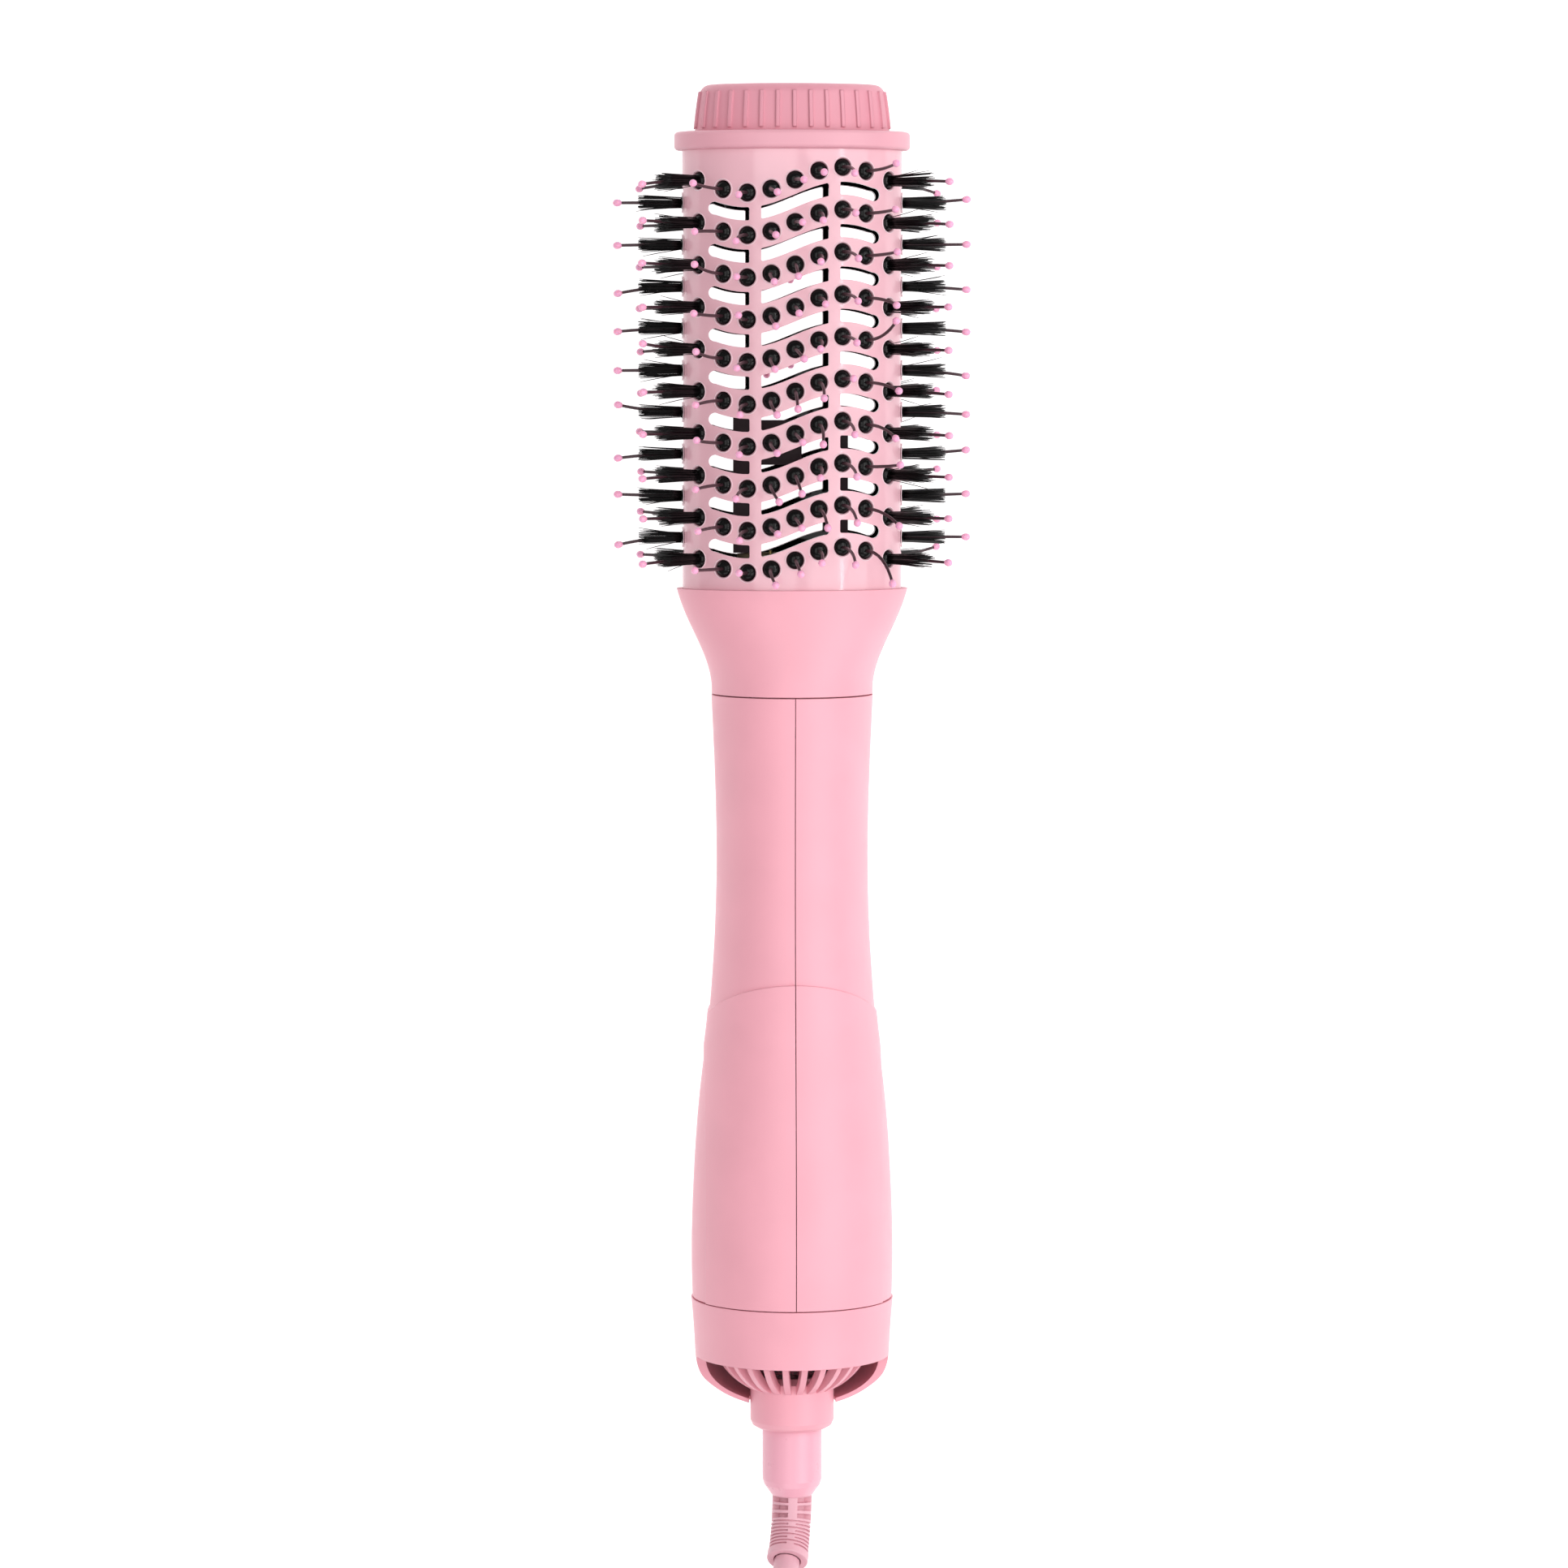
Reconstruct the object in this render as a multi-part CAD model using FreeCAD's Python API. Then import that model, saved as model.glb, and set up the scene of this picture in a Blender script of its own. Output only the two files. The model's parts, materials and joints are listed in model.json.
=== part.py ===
import FreeCAD, Part

import math
import os

from FreeCAD import Matrix, Placement, Rotation, Vector

# Hot air brush with an oval vented barrel, lying on its bristle tips and its grip.
# Everything except the free cord is drawn in the brush's own frame, in millimetres:
# Y runs along the brush's axis from the cord end to the tip, Z is the broad upper face,
# and Y = 0 is the joint between the grip and the selector collar.
# place() then tilts the brush to the way it lies on a flat surface.

# ---- driving dimensions -------------------------------------------------------------
BARREL_A = 29.6  # half width of the oval barrel
BARREL_B = 19.0  # half depth of the oval barrel
OVAL_SEAM = math.radians(18.7)  # an oval's curve closes between the outer column and the side strip
SKIN = 1.2  # barrel wall
CARRIER = 1.7  # wall of the black bristle carrier behind the skin
BARREL_FOOT = 190.6
BARREL_TOP = 311.2

ROWS = 10
ROW_PITCH = 11.22
FIRST_ROW_Y = 302.9
COLUMN_PITCH = 6.4
WAVE_HEIGHT = 3.4  # rows and vents follow one sine wave across the broad face
WAVE_LENGTH = 8 * COLUMN_PITCH

HOLE_R = 2.35
BOSS_R = 2.2
BOSS_TOP = 0.55  # the black domes stand this far out of the skin
BUNDLE_BASE_R = 1.3
BUNDLE_TIP_R = 1.9
BUNDLE_SHORTER = 6.4  # how much shorter the bristles are than the pin
BRISTLE_COLUMN = 4  # only the outer columns and the narrow sides have bristles round their pins
PIN_R = 0.42
BALL_R = 1.05
TIP_HEIGHT = 36.0  # the middle pins all end this far from the axis
OUTER_PIN = (20.6, 21.5)  # pin lengths of the two outer columns
SIDE_PIN = 18.5

VENT_HALF = 1.75
VENT_MIDDLE = 9.0  # half length of the middle vent
VENT_SIDE = (12.1, 22.8)  # where a side vent starts and ends

STRIP_HALF = 4.9  # half width of the window for the side strip
STRIP_ENDS = (202.6, 301.9)

RING_A = 31.7
RING_B = 20.6
RING_H = 4.9
CAP_H = 12.6
CAP_A = 26.15
CAP_B = 16.1
CAP_RIBS = 30

RIM_Y = 193.8
NECK_Y = 165.2
GRIP_R = 27.67
GRIP_WALL = 1.9
GRIP_OUTLINE = (  # height and half width of the grip, without the lip's rise
    (165.0, 21.85), (148.0, 21.1), (122.0, 20.5), (103.0, 20.9), (89.0, 21.7), (75.5, 22.85),
    (62.0, 24.55), (48.5, 25.9), (35.0, 26.75), (15.0, 27.4), (0.8, 27.15),
)
FUNNEL_OUTLINE = (  # height, half width, half depth
    (193.8, 31.2, 20.5), (191.0, 30.4, 20.3), (187.5, 29.1, 20.1), (180.5, 25.9, 20.4),
    (173.5, 23.0, 21.2), (165.35, 21.8, 21.8),
)
LIP_RISE = 0.5  # the lower grip stands this far proud of the upper grip
ARCH_TOP = 88.1
ARCH_DROP = 13.0

SHAFT_R = 1.5
SHAFT_BORE = 1.53
FAN_BLADES = 7
DUCT_VANES = 9
WIRE_R = 0.45

COLLAR_H = 15.4
GRILLE_R = 22.4
GRILLE_RIBS = 24
RIB_WIDTH = 1.7
HUB_R = 11.4
HUB_END = -35.6
SWIVEL_R = 8.1
SWIVEL_END = -54.3
SWIVEL_BORE = 5.05
RELIEF_R = 5.6
RELIEF_BEND_R = 25.0  # the strain relief curves up and a little to the left
RELIEF_TURN = 45.0
RELIEF_ROLL = -13.0

CORD_D = 7.0
LEAD = (  # route of the cord from the strain relief to the coil, on the surface that the brush lies on
    (-1.65, -208.9, 31.7), (-4.3, -221.4, 42.9), (-8.1, -237.0, 49.0), (-13.3, -253.0, 48.3),
    (-19.1, -266.9, 41.0), (-24.0, -277.4, 30.4), (-27.8, -288.0, 19.8), (-30.5, -301.6, 13.2),
    (-31.5, -316.4, 11.4),
)
TAIL = (  # route of the cord from the coil to the plug
    (-32.7, -317.0, 4.3), (-32.9, -332.5, 4.3), (-29.6, -348.5, 4.3), (-21.4, -362.9, 4.3),
    (-8.9, -374.2, 4.35), (6.6, -380.6, 5.0), (21.6, -381.8, 6.85),
)
COIL_CENTRE = (18.0, -317.0)
COIL_INNER = 25.2
COIL_OUTER = 54.4
COIL_FOOT = 0.8
COIL_HEIGHT = 14.1
TIE_WIDTH = 10.0
TIE_THICK = 0.7
TIE_ANGLE = 70.0
PLUG_WIDE = 33.0
PLUG_THICK = 13.7
PLUG_PIN_R = 2.0
PLUG_PIN_LENGTH = 19.0
PIN_SPACING = 18.6

# ---- how the brush lies -------------------------------------------------------------
# It touches the surface with the lowest bead of the last row and with the grip's foot.
BEAD_Y = FIRST_ROW_Y - (ROWS - 1) * ROW_PITCH - WAVE_HEIGHT
BEAD_LEAN = math.radians(17.1)
GRIP_TOUCH_Y = 2.0
TILT = math.degrees(math.atan((TIP_HEIGHT - GRIP_R) / (BEAD_Y - GRIP_TOUCH_Y)))
BEAD_CENTRE = TIP_HEIGHT - BALL_R * math.cos(BEAD_LEAN)
AXIS_HEIGHT = BEAD_CENTRE * math.cos(math.radians(TILT)) + BALL_R - BEAD_Y * math.sin(math.radians(TILT))
MIDDLE_Y = 137.276  # the brush's box is centred on the origin

CORD_NODES = (
    "strain_relief", "power_cord", "cord_tail", "cord_coil", "cord_tie", "plug_body", "plug_pins",
)
HERE = {}


def place(shape):
    """Tilts a shape from the brush's frame to the way the brush lies."""
    moved = shape.copy()
    lie = Placement(Vector(0, -MIDDLE_Y, AXIS_HEIGHT), Rotation(Vector(1, 0, 0), TILT))
    moved.transformShape(lie.toMatrix())
    return moved


def keep(name, shapes, tilted=True):
    """Stores a node: one solid, or a group of separate solids."""
    solids = []
    for shape in shapes if isinstance(shapes, list) else [shapes]:
        solids += shape.Solids
    HERE[name] = [place(s) if tilted else s for s in solids]


# ---- helpers ------------------------------------------------------------------------
def turned(points, angle=360.0, start=0.0):
    """A solid of revolution about Y from (radius, y) points."""
    corners = [Vector(r, y, 0) for r, y in points]
    wire = Part.makePolygon(corners + corners[:1])
    solid = Part.Face(wire).revolve(Vector(0, 0, 0), Vector(0, 1, 0), angle)
    solid.rotate(Vector(0, 0, 0), Vector(0, 1, 0), start)
    return solid


def ring(outer, inner, low, high):
    """A round tube about Y."""
    return turned([(inner, low), (outer, low), (outer, high), (inner, high)])


def rod(radius, low, high, x=0.0, z=0.0):
    """A cylinder along Y."""
    return Part.makeCylinder(radius, high - low, Vector(x, low, z), Vector(0, 1, 0))


def box(x, y, z):
    """A box from its ranges along X, Y and Z."""
    return Part.makeBox(x[1] - x[0], y[1] - y[0], z[1] - z[0], Vector(x[0], y[0], z[0]))


def oval_wire(a, b, y, points=32):
    """A smooth closed oval of half axes a and b at height y."""
    curve = Part.BSplineCurve()
    ring_points = []
    for i in range(points):
        turn = OVAL_SEAM + 2 * math.pi * i / points
        ring_points.append(Vector(a * math.cos(turn), y, b * math.sin(turn)))
    curve.interpolate(Points=ring_points, PeriodicFlag=True)
    return Part.Wire([curve.toShape()])


def oval_loft(sections):
    """A smooth solid through ovals given as (y, half width, half depth)."""
    return Part.makeLoft([oval_wire(a, b, y) for y, a, b in sections], True, False)


def oval_bar(a, b, low, high):
    """A straight bar of oval section along Y."""
    face = Part.Face(oval_wire(a, b, low))
    return face.extrude(Vector(0, high - low, 0))


def smooth_outline(points):
    """A B-spline edge in the XY plane through (y, radius) points."""
    curve = Part.BSplineCurve()
    curve.interpolate([Vector(r, y, 0) for y, r in points])
    return curve.toShape()


def turned_outline(points, shift=0.0):
    """A solid of revolution whose side is a smooth outline, moved out by shift."""
    moved = [(y, r + shift) for y, r in points]
    side = smooth_outline(moved)
    top, foot = moved[0], moved[-1]
    corners = [Vector(foot[1], foot[0], 0), Vector(0, foot[0], 0), Vector(0, top[0], 0)]
    corners.append(Vector(top[1], top[0], 0))
    wire = Part.Wire([side] + Part.makePolygon(corners).Edges)
    return Part.Face(wire).revolve(Vector(0, 0, 0), Vector(0, 1, 0), 360)


def half_space(side_x=0, side_z=0):
    """A box that covers one side of the X = 0 or Z = 0 plane."""
    big = 400.0
    x = (0, big) if side_x > 0 else (-big, 0) if side_x < 0 else (-big, big)
    z = (0, big) if side_z > 0 else (-big, 0) if side_z < 0 else (-big, big)
    return box(x, (-big, big), z)


# ---- where the tufts and vents are ----------------------------------------------------
def wave(x):
    """How far a row rises at x."""
    return WAVE_HEIGHT * math.sin(2 * math.pi * x / WAVE_LENGTH)


def face_point(x):
    """Height of the oval skin above the axis at x, and the lean of its normal in radians."""
    z = BARREL_B * math.sqrt(1 - (x / BARREL_A) ** 2)
    return z, math.atan2(x / BARREL_A**2, z / BARREL_B**2)


def pin_length(column):
    """Pin length of a column, counted 0 to 4 from the middle outwards."""
    if column > 2:
        return OUTER_PIN[column - 3]
    z, lean = face_point(column * COLUMN_PITCH)
    return (TIP_HEIGHT - z) / math.cos(lean)


def face_tufts(side):
    """(column, place) of each tuft on the upper (side 1) or lower (side -1) face.

    The place carries the local Y axis to the way that the tuft points."""
    found = []
    for column in range(-4, 5):
        x = column * COLUMN_PITCH
        z, lean = face_point(x)
        for row in range(ROWS):
            y = FIRST_ROW_Y - row * ROW_PITCH + wave(x)
            out = Vector(math.sin(lean), 0, side * math.cos(lean))
            at = Placement(Vector(x, y, side * z), Rotation(Vector(0, 1, 0), out))
            found.append((abs(column), at))
    return found


def side_tufts(side):
    """Places of the tufts on the narrow side at +X (side 1) or -X (side -1)."""
    out = Vector(side, 0, 0)
    spin = Rotation(Vector(0, 1, 0), out)
    first = FIRST_ROW_Y - ROW_PITCH / 2
    heights = [first - row * ROW_PITCH for row in range(ROWS - 1)]
    return [Placement(Vector(side * BARREL_A, y, 0), spin) for y in heights]


def at(shape, placement):
    """A copy of a shape put at a place."""
    moved = shape.copy()
    moved.Placement = placement
    return moved


# ---- tuft pieces, each drawn along Y with Y = 0 on the skin ---------------------------
def boss():
    """The glossy dome on the carrier, seen through the hole in the skin."""
    depth = -SKIN
    low = Vector(BOSS_R, -0.6, 0)
    high = Vector(PIN_R, BOSS_TOP, 0)
    corners = [high, Vector(0, BOSS_TOP, 0), Vector(0, depth, 0), Vector(BOSS_R, depth, 0), low]
    dome = Part.Arc(low, Vector(1.55, 0.2, 0), high).toShape()
    wire = Part.Wire(Part.makePolygon(corners).Edges + [dome])
    return Part.Face(wire).revolve(Vector(0, 0, 0), Vector(0, 1, 0), 360)


def bundle(pin):
    """The bundle of bristles around a pin of that length."""
    top = pin - BUNDLE_SHORTER
    return turned([(0, BOSS_TOP), (BUNDLE_BASE_R, BOSS_TOP), (BUNDLE_TIP_R, top), (0, top)])


def ball_foot(pin):
    """Height at which a pin meets its ball."""
    return pin - BALL_R - math.sqrt(BALL_R**2 - PIN_R**2)


def pin_rod(pin, bristles):
    """The part of a pin that stands out of its dome or out of its bristles."""
    low = pin - BUNDLE_SHORTER if bristles else BOSS_TOP
    return rod(PIN_R, low, ball_foot(pin))


def ball(pin):
    """The bead on a pin's end."""
    foot = Vector(PIN_R, ball_foot(pin), 0)
    arc = Part.Arc(foot, Vector(BALL_R, pin - BALL_R, 0), Vector(0, pin, 0)).toShape()
    rest = Part.makePolygon([Vector(0, pin, 0), Vector(0, foot.y, 0), foot])
    return Part.Face(Part.Wire([arc] + rest.Edges)).revolve(Vector(0, 0, 0), Vector(0, 1, 0), 360)


def hole_tool():
    """Cuts a hole with a softened edge."""
    rim = 0.25
    deep = -SKIN - 1.0
    return turned([(0, deep), (HOLE_R, deep), (HOLE_R, -rim), (HOLE_R + 2 * rim, rim), (0, rim)])


def make_tufts():
    """Bosses, bristles, pins and beads of both faces and both narrow sides."""
    for label, side in (("front", 1), ("back", -1)):
        places = face_tufts(side)
        keep("tuft_bosses_" + label, [at(boss(), p) for c, p in places])
        outer = [(c, p) for c, p in places if c == BRISTLE_COLUMN]
        keep("bristles_" + label, [at(bundle(pin_length(c)), p) for c, p in outer])
        keep("pins_" + label, [at(pin_rod(pin_length(c), c == BRISTLE_COLUMN), p) for c, p in places])
        keep("ball_tips_" + label, [at(ball(pin_length(c)), p) for c, p in places])
    places = side_tufts(1) + side_tufts(-1)
    keep("tuft_bosses_sides", [at(boss(), p) for p in places])
    keep("bristles_sides", [at(bundle(SIDE_PIN), p) for p in places])
    keep("pins_sides", [at(pin_rod(SIDE_PIN, True), p) for p in places])
    keep("ball_tips_sides", [at(ball(SIDE_PIN), p) for p in places])


# ---- barrel ---------------------------------------------------------------------------
def vent_face(start, end, half, round_end):
    """A curved slot between x = start and x = end, with a square inner and a round outer end."""
    steps = 4
    span = end - start
    last = end - math.copysign(half, span) if round_end else end
    xs = [start + (last - start) * i / steps for i in range(steps + 1)]
    upper = Part.BSplineCurve()
    upper.interpolate([Vector(x, wave(x) + half, 0) for x in xs])
    lower = Part.BSplineCurve()
    lower.interpolate([Vector(x, wave(x) - half, 0) for x in xs])
    high, low = Vector(last, wave(last) + half, 0), Vector(last, wave(last) - half, 0)
    if round_end:
        finish = Part.Arc(high, Vector(end, wave(last) + (wave(end) - wave(last)) / 2, 0), low).toShape()
    else:
        finish = Part.makeLine(high, low)
    first = Part.makeLine(Vector(start, wave(start) - half, 0), Vector(start, wave(start) + half, 0))
    return Part.Face(Part.Wire([upper.toShape(), finish, lower.toShape(), first]))


def vent_tools(grow=0.0):
    """Prisms that cut every vent through both faces."""
    depth = 2 * BARREL_B + 4
    half = VENT_HALF + grow
    spans = [(-VENT_MIDDLE - grow, VENT_MIDDLE + grow, False)]
    for side in (1, -1):
        spans.append((side * (VENT_SIDE[0] - grow), side * (VENT_SIDE[1] + grow), True))
    tools = []
    for start, end, rounded in spans:
        prism = vent_face(start, end, half, rounded).extrude(Vector(0, 0, depth))
        prism.translate(Vector(0, 0, -depth / 2))
        square = [e for e in prism.Edges if e.Length > depth - 1]
        square = [e for e in square if not rounded or abs(e.Vertexes[0].X - start) < 0.01]
        tools.append(prism.makeFillet(0.45, square))
    found = []
    for gap in range(ROWS - 1):
        y = FIRST_ROW_Y - (gap + 0.5) * ROW_PITCH
        for prism in tools:
            moved = prism.copy()
            moved.translate(Vector(0, y, 0))
            found.append(moved)
    return found


def strip_prism(shrink=0.0):
    """A bar along X with a stadium section: the window for the side strips."""
    half = STRIP_HALF - shrink
    low, high = STRIP_ENDS[0] + STRIP_HALF, STRIP_ENDS[1] - STRIP_HALF
    middle = box((-60, 60), (low, high), (-half, half))
    ends = [Part.makeCylinder(half, 120, Vector(-60, y, 0), Vector(1, 0, 0)) for y in (low, high)]
    return middle.multiFuse(ends).removeSplitter()


def barrel_tube(inset, wall, low, high):
    """An oval tube that follows the skin, inset from it."""
    outer = oval_bar(BARREL_A - inset, BARREL_B - inset, low, high)
    inner = oval_bar(BARREL_A - inset - wall, BARREL_B - inset - wall, low - 1, high + 1)
    return outer.cut(inner)


def make_barrel():
    """Two skin halves, two side strips and the two carriers behind the skin."""
    vents = vent_tools()
    skin = barrel_tube(0, SKIN, BARREL_FOOT, BARREL_TOP).cut(strip_prism()).cut(vents)
    liner = barrel_tube(SKIN + 0.1, CARRIER, BARREL_FOOT + 1.0, BARREL_TOP - 5.0)
    liner = liner.cut(vent_tools(0.05))
    for label, side in (("front", 1), ("back", -1)):
        half = skin.common(half_space(side_z=side))
        half = half.cut([at(hole_tool(), p) for c, p in face_tufts(side)])
        keep("barrel_%s_shell" % label, half)
        keep("bristle_carrier_" + label, liner.common(half_space(side_z=side)))
    strip = barrel_tube(0.25, SKIN - 0.25, STRIP_ENDS[0], STRIP_ENDS[1]).common(strip_prism(0.45))
    for label, side in (("left", -1), ("right", 1)):
        piece = strip.common(half_space(side_x=side))
        keep("side_strip_" + label, piece.cut([at(hole_tool(), p) for p in side_tufts(side)]))


# ---- tip ------------------------------------------------------------------------------
def cap_body(grow=0.0, low=0.0, high=CAP_H):
    """The cap's tapered oval, grown by a margin, between two heights above the ring."""
    base = BARREL_TOP + RING_H
    sections = []
    for y in (low, (low + high) / 2, high):
        taper = 1.7 * max(0.0, y / CAP_H) ** 1.3
        sections.append((base + y, CAP_A - taper + grow, CAP_B - taper + grow))
    return oval_loft(sections)


def cap_rib_places():
    """Evenly spaced points around the cap's oval, with the lean of each normal."""
    a, b = CAP_A - 0.5, CAP_B - 0.5
    samples = 1440
    walked = [0.0]
    last = (a, 0.0)
    for i in range(1, samples + 1):
        turn = 2 * math.pi * i / samples
        now = (a * math.cos(turn), b * math.sin(turn))
        walked.append(walked[-1] + math.hypot(now[0] - last[0], now[1] - last[1]))
        last = now
    found = []
    for rib in range(CAP_RIBS):
        goal = walked[-1] * (rib + 0.5) / CAP_RIBS
        i = next(k for k, w in enumerate(walked) if w >= goal)
        turn = 2 * math.pi * i / samples
        lean = math.degrees(math.atan2(math.sin(turn) / b, math.cos(turn) / a))
        found.append((a * math.cos(turn), b * math.sin(turn), lean))
    return found


def make_tip():
    """The ribbed cool-tip cap, the flange ring under it and the screws that join them."""
    base = BARREL_TOP + RING_H
    body = cap_body()
    top_edges = [e for e in body.Edges if e.BoundBox.YMin > base + CAP_H - 0.1]
    body = body.makeFillet(3.0, top_edges)
    ribs = []
    for x, z, lean in cap_rib_places():
        bar = box((-2.5, 3.0), (base + 0.9, base + CAP_H - 1.9), (-0.5, 0.5))
        bar.rotate(Vector(0, 0, 0), Vector(0, 1, 0), -lean)
        bar.translate(Vector(x, 0, z))
        ribs.append(bar)
    ribs = cap_body(0.55).common(Part.makeCompound(ribs))
    body = body.fuse(ribs.Solids)
    body = body.cut(cap_body(-2.0, -1.0, CAP_H - 2.2))
    posts = [rod(3.2, base, base + CAP_H - 2.1, x) for x in (-15, 15)]
    body = body.multiFuse(posts)
    keep("tip_cap", body.cut([rod(1.3, base - 1, base + 7, x) for x in (-15, 15)]))

    flange = oval_bar(RING_A, RING_B, BARREL_TOP, base)
    flange = flange.makeFillet(1.1, [e for e in flange.Edges if e.BoundBox.YLength < 0.5])
    inside = BARREL_A - SKIN - 0.15, BARREL_B - SKIN - 0.15
    spigot = oval_bar(inside[0], inside[1], BARREL_TOP - 4.6, BARREL_TOP + 0.5)
    flange = flange.fuse(spigot)
    flange = flange.cut(oval_bar(inside[0] - 1.6, inside[1] - 1.6, BARREL_TOP - 5, BARREL_TOP + 2.2))
    keep("tip_ring", flange.cut([rod(1.7, BARREL_TOP, base + 1, x) for x in (-15, 15)]))
    screws = []
    for x in (-15, 15):
        head = rod(2.9, BARREL_TOP + 0.6, BARREL_TOP + 2.2, x)
        screws.append(head.fuse(rod(1.3, BARREL_TOP + 2.2, base + 6.5, x)))
    keep("tip_screws", screws)


# ---- neck and heater ------------------------------------------------------------------
def make_neck():
    """The funnel from the oval barrel to the round grip, and the plate that seats the barrel."""
    outer = oval_loft(FUNNEL_OUTLINE)
    lower = [(y, a - 1.8, b - 1.8) for y, a, b in FUNNEL_OUTLINE[1:]]
    lower[0] = (BARREL_FOOT + 1.0, 28.2, 18.2)
    lower[-1] = (NECK_Y - 1.0, 19.8, 19.8)
    inner = oval_loft(lower)
    mouth = oval_bar(BARREL_A + 0.05, BARREL_B + 0.05, BARREL_FOOT - 0.1, RIM_Y + 1)
    foot = FUNNEL_OUTLINE[-1][0]
    spigot = turned([(17.6, foot - 8), (19.5, foot - 8), (19.5, foot), (20.9, foot), (20.9, foot + 3),
                     (17.6, foot + 3)])
    funnel = outer.cut(inner).cut(mouth).fuse(spigot)
    keep("neck_funnel", funnel.removeSplitter())
    seat = oval_bar(26.6, 17.0, BARREL_FOOT - 2.7, BARREL_FOOT - 0.3)
    seat = seat.cut(rod(15.1, BARREL_FOOT - 4, BARREL_FOOT + 1))
    holes = [rod(1.4, BARREL_FOOT - 4, BARREL_FOOT + 1, x) for x in (-20, 20)]
    keep("barrel_seat", seat.cut(holes))
    screws = []
    for x in (-20, 20):
        shank = rod(1.35, BARREL_FOOT - 7, BARREL_FOOT - 0.3, x)
        screws.append(shank.fuse(rod(2.6, BARREL_FOOT - 0.3, BARREL_FOOT + 0.9, x)))
    keep("seat_screws", screws)


def make_heater():
    """Mica shroud, crossed mica boards, the wound element, cut-outs and the frame above them."""
    low, high = 154.0, 203.0
    keep("heater_shroud", ring(15.0, 14.5, low, high))
    board = box((-12.4, 12.4), (low + 1, high - 2), (-0.4, 0.4))
    across = box((-0.4, 0.4), (low + 1, high - 2), (-12.4, 12.4))
    keep("heater_boards", board.fuse(across).removeSplitter())
    edge, rise = 13.6, 1.2  # the wire passes over the boards' four edges, rising from each to the next
    turns = [Rotation(Vector(0, 1, 0), 90 * i).multVec(Vector(edge, 0, 0)) for i in range(33)]
    climb = [turn + Vector(0, low + 5 + rise * i, 0) for i, turn in enumerate(turns)]
    keep("heater_coil", bent_rod(climb, 0.35, 1.5))
    keep("thermostat", box((2.0, 9.0), (high - 10, high - 3), (1.0, 4.0)))
    fuse_body = rod(1.6, high - 13, high - 3, -6, 4)
    leads = rod(0.4, high - 17, high + 1, -6, 4)
    keep("thermal_fuse", fuse_body.fuse(leads))
    left = box((-15.9, -9.6), (high + 0.3, 244.0), (-1.6, 1.6))
    arm = box((-9.7, 2.5), (227.0, 239.0), (-1.6, 1.6))
    keep("heater_frame_left", left.fuse(arm).removeSplitter())
    keep("heater_frame_right", box((10.4, 15.0), (high + 0.3, 238.0), (-1.6, 1.6)))


# ---- grip -----------------------------------------------------------------------------
def arch_prism():
    """Everything below the arched upper edge of the lower grip."""
    half = 24.0
    left, right = Vector(-half, ARCH_TOP - ARCH_DROP, 0), Vector(half, ARCH_TOP - ARCH_DROP, 0)
    crown = Part.Ellipse(Vector(0, ARCH_TOP - ARCH_DROP, 0), half, ARCH_DROP)
    arch = Part.Arc(crown, 0, math.pi).toShape()
    rest = Part.makePolygon([left, Vector(-half, 0, 0), Vector(half, 0, 0), right])
    prism = Part.Face(Part.Wire([arch] + rest.Edges)).extrude(Vector(0, 0, 80))
    prism.translate(Vector(0, 0, -40))
    return prism


def grip_solid():
    """The grip's outer form with its arched lip."""
    lower = turned_outline(GRIP_OUTLINE, LIP_RISE).common(arch_prism())
    return turned_outline(GRIP_OUTLINE).fuse(lower)


def make_grip():
    """The left and right grip shells, with the grooves that hold the funnel and the grille."""
    body = grip_solid().cut(turned_outline(GRIP_OUTLINE, -GRIP_WALL))
    rims = [ring(GRIP_R - 1.8, 24.2, low, high) for low, high in ((0.8, 2.4), (5.4, 7.0))]
    seats = []
    for start in (20, 120, 300):
        for low, radius in ((16.0, 26.0), (43.0, 24.9)):
            section = [(23.1, low), (radius, low), (radius, low + 1.5), (23.1, low + 1.5)]
            seats.append(turned(section, 40, start))
    body = body.multiFuse(rims + seats)
    gap = box((-0.1, 0.1), (-1, 200), (-60, 60))
    body = body.cut(gap)
    for label, side in (("left", -1), ("right", 1)):
        keep("handle_%s_shell" % label, body.common(half_space(side_x=side)))


# ---- motor and fan --------------------------------------------------------------------
def fan_blades():
    """Pitched blades on a hub."""
    hub = ring(7.5, SHAFT_BORE, 20.0, 31.0)
    blades = []
    for i in range(FAN_BLADES):
        blade = box((6.8, 20.6), (-0.6, 0.6), (-6.5, 6.5))
        blade.rotate(Vector(0, 0, 0), Vector(1, 0, 0), 38)
        blade.translate(Vector(0, 25.5, 0))
        blade.rotate(Vector(0, 0, 0), Vector(0, 1, 0), i * 360.0 / FAN_BLADES)
        blades.append(blade)
    whole = hub.multiFuse(blades)
    return whole.common(ring(20.8, SHAFT_BORE, 19.0, 32.0))


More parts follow.
